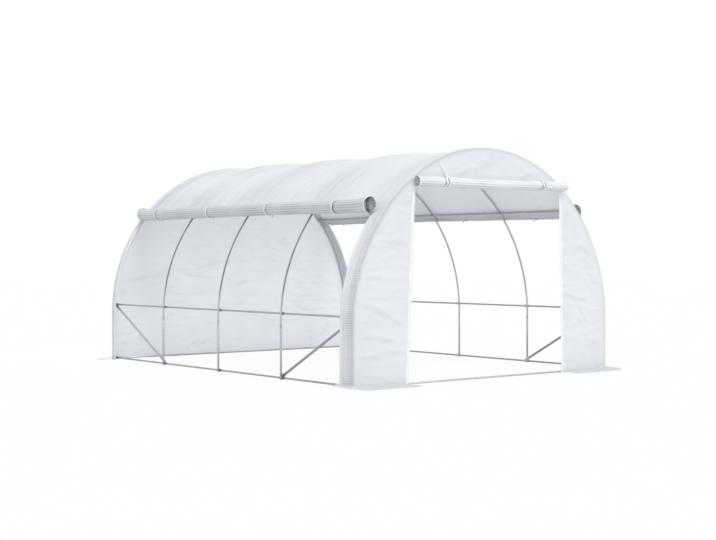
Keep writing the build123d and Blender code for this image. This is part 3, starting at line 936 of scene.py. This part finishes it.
def front_wall():
    """The panels beside the door and the gable over it, sewn into one wall."""
    bm = bmesh.new()
    columns = 26
    rows = round(DOOR_TOP / 0.016)
    middle = 88
    for side in (-1, 1):
        before = set(bm.verts)
        flat_cut(bm, (0, 0), (1, DOOR_TOP), (1 / columns, DOOR_TOP / rows))
        for vert in set(bm.verts) - before:
            outer, inner = wall_half_width(vert.co.y), door_edge(vert.co.y, side)
            vert.co.x = side * (outer - (outer - inner) * vert.co.x)
    before = set(bm.verts)
    flat_cut(bm, (-0.5, 0), (0.5, 1), (1 / (2 * columns + middle), 1 / 22))
    edge = wall_half_width(DOOR_TOP)
    left, right = -DOOR_EDGES[-1][1], DOOR_EDGES[1][1]
    for vert in set(bm.verts) - before:
        column = round((vert.co.x + 0.5) * (2 * columns + middle))
        if column <= columns:
            x = -edge + (edge + left) * column / columns
        elif column >= columns + middle:
            x = right + (edge - right) * (column - columns - middle) / columns
        else:
            x = left + (right - left) * (column - columns) / middle
        vert.co = (x, DOOR_TOP + (wall_top(x) - DOOR_TOP) * vert.co.y, 0)
    bmesh.ops.remove_doubles(bm, verts=bm.verts, dist=1e-5)
    lay(bm, on_front, front_painted_shade)
    nodes = ["left_door_panel", "right_door_panel", "gable_panel"]
    piece = add_piece(bm, "front_wall", WALL_CLOTH, nodes)


def back_wall():
    """The closed wall at the back."""
    bm = bmesh.new()
    flat_cut(bm, (-1, 0), (1, 1), (1 / 90, 1 / 170))
    for vert in bm.verts:
        x = ARCH * sin(vert.co.x * pi / 2)
        vert.co = (x, wall_top(x) * vert.co.y, 0)
    bmesh.ops.remove_doubles(bm, verts=bm.verts, dist=1e-6)
    lay(bm, on_back, back_painted_shade)
    piece = add_piece(bm, "back_wall", WALL_CLOTH, ["back_panel"])


front_wall()
back_wall()


# Hems, bands and zip tapes sewn on the cover


def sew_on(name, strips, width, cloth=HEM_CLOTH):
    """Narrow strips of doubled cloth, each laid by its own rule for a place across and along it."""
    bm = bmesh.new()
    for length, cell, place, *cut in strips:
        before = set(bm.verts)
        flat_cut(bm, (0, 0), (width, length), (width / 4, cell))
        fresh = set(bm.verts) - before
        keep_cut(bm, fresh, *cut)
        for vert in fresh:
            vert.co = place(*vert.co.xy)
    bmesh.ops.recalc_face_normals(bm, faces=bm.faces)
    piece = add_piece(bm, name, cloth)


def edge_raise(across, width):
    """A sewn strip stands proud in its middle and lies down at its two edges."""
    return 0.0006 + 0.0012 * smooth_step(0.0, 0.006, min(across, width - across))


def strip_hems():
    """The hem down the free edge of each corner strip."""
    width = 0.04
    strips = []
    for side, ends in STRIPS.items():
        for y, inward in zip(ends, (-1, 1)):
            def place(across, along, side=side, y=y, inward=inward):
                way = along if side < 0 else CUT_WIDTH - along
                return over_hoops(way, y + inward * across, edge_raise(across, width))

            strips.append((ROOF_EDGE - 0.02, 0.03, place))
    sew_on("strip_hems", strips, width)


def arch_bands():
    """The band sewn round each end of the roof, from the ground on one side to the ground on the other."""
    width = 0.055
    strips = []
    for end in (-1, 1):
        def place(across, along, end=end):
            return over_hoops(along, end * (END_HOOP - 0.008 - across), edge_raise(across, width) + 0.0008)

        def cut(across, along, end=end):
            return along, end * (END_HOOP - across)

        strips.append((CUT_WIDTH, 0.03, place, cut))
    sew_on("arch_bands", strips, width, ROOF_CLOTH)


def wall_welts():
    """The narrow welt that sews each end wall to the roof, round the whole arch."""
    width = 0.0105
    run = 2 * LEG + pi * ARCH
    strips = []
    for wall in (on_front, on_back):
        def place(across, along, wall=wall):
            inner = ARCH - 0.003 - across
            bend = min(max((along - LEG) / ARCH, 0), pi)
            height = along if along < LEG else run - along if along > run - LEG else LEG + inner * sin(bend)
            return wall(-inner * cos(bend), height, edge_raise(across, width))

        strips.append((run, 0.03, place))
    sew_on("wall_welts", strips, width, WALL_CLOTH)


def zip_tapes():
    """The zip tape down each edge of the doorway."""
    width = 0.036
    strips = []
    for side in (-1, 1):
        def place(across, along, side=side):
            x = door_edge(along, side) - 0.004 + across
            return on_front(side * x, along, edge_raise(across, width) + 0.0006)

        strips.append((DOOR_TOP, 0.02, place))
    sew_on("zip_tapes", strips, width)


strip_hems()
arch_bands()
wall_welts()
zip_tapes()


# Rolled walls and rolled door


def wound_sheet(name, node_name, cloth, turns, outer, pitch, ends, cell, place, ties, tie_shadows):
    """A sheet wound from its sewn edge inward, in turns that shrink by the pitch, with painted shadow beside each tie.
    """
    bm = bmesh.new()
    full = 2 * pi * turns
    flat_cut(bm, (0, ends[0]), (full, ends[1]), (full / (turns * TURN_CELLS), cell))
    for tie in ties:
        for off in (-0.034, -0.026, -0.019, -0.012, 0.012, 0.019, 0.026, 0.034):
            slit(bm, tie + off, False)
    for i in range(1, 5):
        slit(bm, ends[0] + 0.005 * i, False)
        slit(bm, ends[1] - 0.005 * i, False)
    keep_cut(bm, cut=lambda turn, along: (outer * turn - pitch * turn * turn / (4 * pi), along))
    painted_dark = bm.verts.layers.float.new("hollow")
    # Painted shadow beside each tie: a strong band on the side picked by the sign of its strength, and a faint one on
    # the other side
    for vert in bm.verts:
        for tie, shadow_strength in zip(ties, tie_shadows):
            off = (vert.co.y - tie) * (1 if shadow_strength > 0 else -1)
            vert[painted_dark] += abs(shadow_strength) * (bell(off - 0.019, 0.008) + 0.2 * bell(off + 0.016, 0.006))
        vert.co = place(vert.co.x, vert.co.y)
    bmesh.ops.recalc_face_normals(bm, faces=bm.faces)
    piece = add_piece(bm, name, cloth, [node_name], ROLLED_THICKNESS)


def roll_pinch(along, ties, depth, reach):
    """How much of its radius a roll keeps where ties squeeze it."""
    return 1 - depth * max(bell(along - tie, reach) for tie in ties)


def side_roll_size(side, along):
    """Radius of a rolled wall, and the distance and angle at which its middle lies: ends flare, ties squeeze."""
    front, back = side_roll_ends(side)
    flare = SIDE_FLARE * (1 - smooth_step(0.0, 0.2, min(along - front, back - along)))
    squeeze = roll_pinch(along, TIE_PLACES, SIDE_SQUEEZE, 0.03)
    radius = (SIDE_ROLL + flare) * squeeze
    lean = ROLL_ANGLE + SIDE_TILT * (along - front) / (back - front) + 0.003 * rough(along * 0.9, side, 6.1)
    return radius, COVER + radius + 0.5 * SIDE_ROLL * (1 - squeeze) - arch_drop(lean, along), lean


def side_roll_ends(side):
    """Where a rolled wall ends: a little past the front strip, and at the back strip."""
    return STRIPS[side][0] - SIDE_FORWARD[side], STRIPS[side][1] - 0.004


def side_roll_place(side):
    """The rule that winds one side's wall: a turn and a place along it give a point."""
    front, back = side_roll_ends(side)
    seed = 20.0 + side

    def place(turn, along, proud=0.0):
        outer, middle, lean = side_roll_size(side, along)
        phase = lean + pi + turn
        radius = outer - SIDE_PITCH * turn / (2 * pi) * outer / SIDE_ROLL
        rib = rough(cos(phase) * 2.6, sin(phase) * 2.6, seed + 0.35 * along)
        fine = rough(cos(phase) * 7.0, sin(phase) * 7.0, seed + 9 + 0.8 * along)
        wave = rough(phase * 0.7, along * 5.0, seed + 4)
        early = smooth_step(0.0, 0.9, turn)
        radius *= 1 + early * (0.05 * rib + 0.05 * fine + 0.02 * wave)
        near_end = 1 - smooth_step(0.0, 0.25, min(along - front, back - along))
        radius += proud
        inward = 0.03 * smooth_step(4.0, 14.0, turn) + 0.006 * rough(turn * 0.5, seed, 2.2)
        step = inward if along < 0 else -inward
        x = middle * cos(lean) + radius * cos(phase)
        z = LEG + middle * sin(lean) + radius * sin(phase)
        return Vector((side * x, along + step * near_end, z))

    return place


def door_roll_place(turn, along, proud=0.0):
    """The rule that winds the door: a turn and a place along it give a point."""
    phase = -turn
    radius = DOOR_ROLL - DOOR_PITCH * turn / (2 * pi)
    rib = rough(cos(phase) * 2.2, sin(phase) * 2.2, 41.0 + 0.5 * along)
    fine = rough(cos(phase) * 6.0, sin(phase) * 6.0, 47.0 + 1.2 * along)
    early = smooth_step(0.0, 0.9, turn)
    radius *= 1 + early * (0.06 * rib + 0.05 * fine)
    radius *= roll_pinch(along, DOOR_TIES, DOOR_SQUEEZE, 0.03)
    radius += proud
    near_end = 1 - smooth_step(0.0, 0.2, min(along - DOOR_ROLL_ENDS[0], DOOR_ROLL_ENDS[1] - along))
    inward = 0.02 * smooth_step(4.0, 20.0, turn) + 0.005 * rough(turn * 0.5, 3.3, 8.2)
    step = inward if along < 0 else -inward
    sag = -0.006 * (1 - (along / 0.58) ** 2) if abs(along) < 0.58 else 0.0
    height = DOOR_ROLL_MIDDLE.z + 0.012 * along + sag
    return Vector((along + step * near_end, DOOR_ROLL_MIDDLE.y + radius * cos(phase), height + radius * sin(phase)))


def rolls():
    """The two side walls and the door, rolled up and tied, with the hem that shows round each end."""
    step = 2 * pi / TURN_CELLS
    strips = []
    for word, side in (*SIDES, ("door", 0)):
        if side:
            names, cloth, turns, cell = (f"{word}_rolled_wall", f"{word}_side_roll"), SIDE_ROLL_CLOTH_SHADED, 7, 0.035
            radius, pitch, ends, place = SIDE_ROLL, SIDE_PITCH, side_roll_ends(side), side_roll_place(side)
            # Strength of the painted shadow beside each tie; its sign picks the side
            ties, tie_shadows = TIE_PLACES, (-1.6, -0.5, -0.5, -0.6)
        else:
            names, cloth, turns, cell = ("rolled_door", "door_roll"), DOOR_ROLL_CLOTH_SHADED, 10, 0.03
            radius, pitch, ends, place = DOOR_ROLL, DOOR_PITCH, DOOR_ROLL_ENDS, door_roll_place
            # Strong painted shadow beside both door ties
            ties, tie_shadows = DOOR_TIES, (1.7, 1.7)
        wound_sheet(*names, cloth, turns, radius, pitch, ends, cell, place, ties, tie_shadows)
        for end, inward in zip(ends, (1, -1)):
            def hem(across, along, place=place, radius=radius, end=end, inward=inward):
                return place(2 * step + along / radius, end + inward * across, edge_raise(across, ROLL_HEM) + 0.0006)

            strips.append((radius * 23 * step, radius * step, hem))
    sew_on("roll_end_hems", strips, ROLL_HEM)


rolls()


# Flaps on the ground


def flap_lie(x, y, edge, rise):
    """Height at which a flap lies: it slopes down from the wall, with ripples before its free edge."""
    ripple = 0.5 + 0.5 * rough(x * 5.0, y * 5.0, 3.0)
    fine = 0.5 + 0.5 * rough(x * 17.0, y * 17.0, 6.0)
    share = min(edge / FLAP, 1)
    slope = rise * (1 - smooth_step(0.0, 0.85, share))
    return 0.0012 + slope + sin(pi * share) * (0.007 * ripple + 0.003 * fine)


def flap(name, node_name, low, high, strip_edges, end, door_gap):
    """A flap of the cover that lies on the ground outside a wall and round its corners."""
    bm = bmesh.new()
    flat_cut(bm, low, high, (0.016, 0.016))
    wall = COVER
    for x in (-wall, wall, -door_gap, door_gap):
        slit(bm, x, True)
    slit(bm, end * END_WALL, False)
    for y in strip_edges.values():
        slit(bm, y, False)
    for side in (-1, 1):
        normal = Vector((side, end, 0)).normalized()
        corner = Vector((side * wall, end * (END_WALL + FLAP), 0))
        bmesh.ops.bisect_plane(
            bm, geom=bm.verts[:] + bm.edges[:] + bm.faces[:], plane_co=corner, plane_no=normal, clear_outer=True
        )
    trimmed = []
    for face in bm.faces:
        middle = face.calc_center_median()
        side = -1 if middle.x < 0 else 1
        inside = abs(middle.x) < wall and end * middle.y < END_WALL
        past = end * (middle.y - strip_edges[side]) < 0
        in_door = abs(middle.x) < door_gap
        if inside or past or in_door:
            trimmed.append(face)
    bmesh.ops.delete(bm, geom=trimmed, context="FACES")
    keep_cut(bm)
    for vert in bm.verts:
        away = max(abs(vert.co.x) - wall, end * vert.co.y - END_WALL, 0)
        corner = 0.024 if vert.co.x < 0 else 0.016
        rise = corner * smooth_step(0.0, 0.12, abs(vert.co.x) - door_gap) if door_gap else 0.008
        vert.co.z = flap_lie(vert.co.x, vert.co.y, away, rise)
    bmesh.ops.recalc_face_normals(bm, faces=bm.faces)
    size = (high[0] - low[0], high[1] - low[1])
    area = max(sum(face.calc_area() for face in bm.faces), 0.3001 * size[0] * size[1])
    piece = add_piece(bm, name, FLAP_CLOTH_SHADED, [node_name])


def flaps():
    """The flaps outside the front corners and round the back."""
    reach = COVER + FLAP
    far = END_WALL + FLAP
    for word, side in SIDES:
        edge = STRIPS[side][0]
        low = (0.1 - reach if side < 0 else 0.88, -far)
        high = (-0.88 if side < 0 else reach, edge)
        edges = {-1: edge, 1: edge}
        name = f"{word}_front"
        flap(f"{name}_flap", f"{name}_skirt", low, high, edges, -1, DOOR_EDGES[side][0])
    edges = {side: STRIPS[side][1] for side in STRIPS}
    flap("back_flap", "back_skirt", (-reach, min(edges.values())), (reach, far), edges, 1, 0.0)


flaps()


# Ties


def tape_on_path(bm, path, width_way, width):
    """Lay a flat tape along a path, with its width along a direction, and give its length."""
    before = set(bm.verts)
    count = len(path) - 1
    length = sum((b - a).length for a, b in zip(path, path[1:]))
    flat_cut(bm, (0, -width / 2), (length, width / 2), (length / count, width / 3))
    fresh = set(bm.verts) - before
    keep_cut(bm, fresh)
    for vert in fresh:
        index = min(max(round(vert.co.x / length * count), 0), count)
        vert.co = path[index] + width_way * vert.co.y
    return length


def hanging_end(bm, top, length, lean, width_way, width):
    """A loose end of a tie that hangs down and curls a little."""
    path = []
    for i in range(9):
        share = i / 8
        curl = Vector((sin(share * 2.4) * 0.35, 0, 0)) * length * lean
        sway = width_way * (0.12 * length * share * lean)
        path.append(top + Vector((0, 0, -length * share)) + curl + sway)
    return tape_on_path(bm, path, width_way, width)


def tie_knot(bm, knot, width_way, across, drop, sway, ends, end_width):
    """A loop of tape for a knot, with its loose ends below, and the length of tape in them."""
    loop = []
    for i in range(13):
        turn = 2 * pi * i / 12
        loop.append(knot + Vector(across) * cos(turn) + Vector((0, 0, 0.009 * sin(turn))))
    total = tape_on_path(bm, loop, width_way, TIE_WIDTH * 0.7)
    for length, lean in ends:
        top = knot + width_way * (sway * lean) + Vector(drop)
        total += hanging_end(bm, top, length, lean, width_way, end_width)
    return total


def side_ties(word, side):
    """The tapes round a rolled wall, each sewn to the roof, wrapped, knotted below and left hanging."""
    bm = bmesh.new()
    total = 0.0
    width_way = Vector((0, 1, 0))
    for along in TIE_PLACES:
        outer, middle, lean = side_roll_size(side, along)
        radius = outer * 1.04 + 0.002
        centre = Vector((side * middle * cos(lean), along, LEG + middle * sin(lean)))
        path = []
        for i in range(49):
            phase = radians(185) - radians(330) * i / 48
            path.append(centre + Vector((side * cos(phase), 0, sin(phase))) * radius)
        total += tape_on_path(bm, path, width_way, TIE_WIDTH)
        knot = centre + Vector((side * cos(radians(235)), 0, sin(radians(235)))) * (radius + 0.004)
        ends = ((0.017, 0.7), (0.013, -0.6))
        total += tie_knot(bm, knot, width_way, (0.007, 0, 0), (0, 0, -0.008), 0.006, ends, TIE_WIDTH * 0.8)
    outward(bm)
    piece = add_piece(bm, f"{word}_wall_ties", WEBBING, [f"{word}_roll_ties"], TAPE_THICKNESS)


def door_ties():
    """The two tapes that hold the rolled door, sewn to the gable above and knotted in front."""
    bm = bmesh.new()
    total = 0.0
    width_way = Vector((1, 0, 0))
    for along in DOOR_TIES:
        radius = DOOR_ROLL * (1 - DOOR_SQUEEZE) + 0.004
        centre = DOOR_ROLL_MIDDLE + Vector((along, 0, 0.012 * along))
        path = []
        tall = 0.09 if along < 0 else 0.03
        for i in range(6):
            z = 1.73 + tall * (1 - i / 5)
            path.append(on_front(along + 0.05 - 0.05 * (z - 1.73) / 0.09, z, 0.002))
        for i in range(37):
            phase = radians(75) + radians(300) * i / 36
            aside = 0.05 * (1 - smooth_step(0, 7, i))
            path.append(centre + Vector((aside, cos(phase) * radius, sin(phase) * radius)))
        total += tape_on_path(bm, path, width_way, TIE_WIDTH)
        knot = centre + Vector((0, cos(radians(195)), sin(radians(195)))) * (radius + 0.004)
        ends = ((0.024, 0.4), (0.018, -0.4))
        total += tie_knot(bm, knot, width_way, (0, 0.006, 0), (0, -0.004, -0.006), 0.004, ends, TIE_WIDTH * 0.7)
    outward(bm)
    piece = add_piece(bm, "door_ties", WEBBING, ["door_roll_ties"], TAPE_THICKNESS)


for word, side in SIDES:
    side_ties(word, side)
door_ties()


# Floor, light and camera


def white_floor():
    """A pale floor that shows white and keeps the tunnel's shadow."""
    bm = bmesh.new()
    bmesh.ops.create_grid(bm, x_segments=1, y_segments=1, size=60, matrix=Matrix.Translation((0, 0, -0.0006)))
    mesh = bpy.data.meshes.new("floor")
    bm.to_mesh(mesh)
    bm.free()
    made, tree, shader = blank_material("floor_white")
    shader.inputs["Base Color"].default_value = (*grey(0.78), 1)
    shader.inputs["Roughness"].default_value = 0.9
    shader.inputs["Specular IOR Level"].default_value = 0.1
    glow = node(tree, "ShaderNodeEmission", {"Strength": 1.0})
    path = node(tree, "ShaderNodeLightPath")
    seen = maths(tree, "MULTIPLY", path.outputs["Is Camera Ray"], 0.94)
    mix_to_surface(tree, seen, shader, glow)
    mesh.materials.append(made)
    floor = bpy.data.objects.new("floor", mesh)
    scene.collection.objects.link(floor)


def soft_light():
    """An even white surround, a broad lamp above the front, and a low lamp behind the back wall."""
    world = bpy.data.worlds.new("surround")
    scene.world = world
    world.use_nodes = True
    tree = world.node_tree
    surround = tree.nodes["Background"]
    surround.inputs["Color"].default_value = (1, 1, 1, 1)
    surround.inputs["Strength"].default_value = 0.84
    white = node(tree, "ShaderNodeBackground", {"Color": (1, 1, 1, 1), "Strength": 1.0})
    path = node(tree, "ShaderNodeLightPath")
    seen = maths(tree, "MAXIMUM", path.outputs["Is Camera Ray"], path.outputs["Is Glossy Ray"])
    mix_to_surface(tree, seen, surround, white, "World Output")
    sun = bpy.data.lights.new("broad_lamp", "SUN")
    sun.energy = 1.35
    sun.angle = radians(20)
    lamp = bpy.data.objects.new("broad_lamp", sun)
    lamp.rotation_euler = Vector((0.02, 0.75, -0.9)).to_track_quat("-Z", "Y").to_euler()
    scene.collection.objects.link(lamp)
    back = bpy.data.lights.new("back_lamp", "AREA")
    back.energy = 16.5
    back.shape = "RECTANGLE"
    back.size, back.size_y = 4.0, 0.6
    lamp = bpy.data.objects.new("back_lamp", back)
    lamp.location = (0.4, 3.4, 0.3)
    lamp.rotation_euler = (radians(-90), 0, 0)
    lamp.visible_camera = False
    scene.collection.objects.link(lamp)


def photo_camera():
    """The camera, at the photograph's place and lens."""
    data = bpy.data.cameras.new("camera")
    data.sensor_fit = "HORIZONTAL"
    data.sensor_width = 36.0
    data.lens = 36.0 * 1267.93 / 716
    data.clip_end = 200.0
    camera = bpy.data.objects.new("camera", data)
    camera.location = (-7.7131, -9.7850, 1.0010)
    camera.rotation_euler = (radians(90 - 0.372), 0, radians(-38.706))
    scene.collection.objects.link(camera)
    scene.camera = camera


white_floor()
soft_light()
photo_camera()
scene.view_settings.view_transform = "Standard"
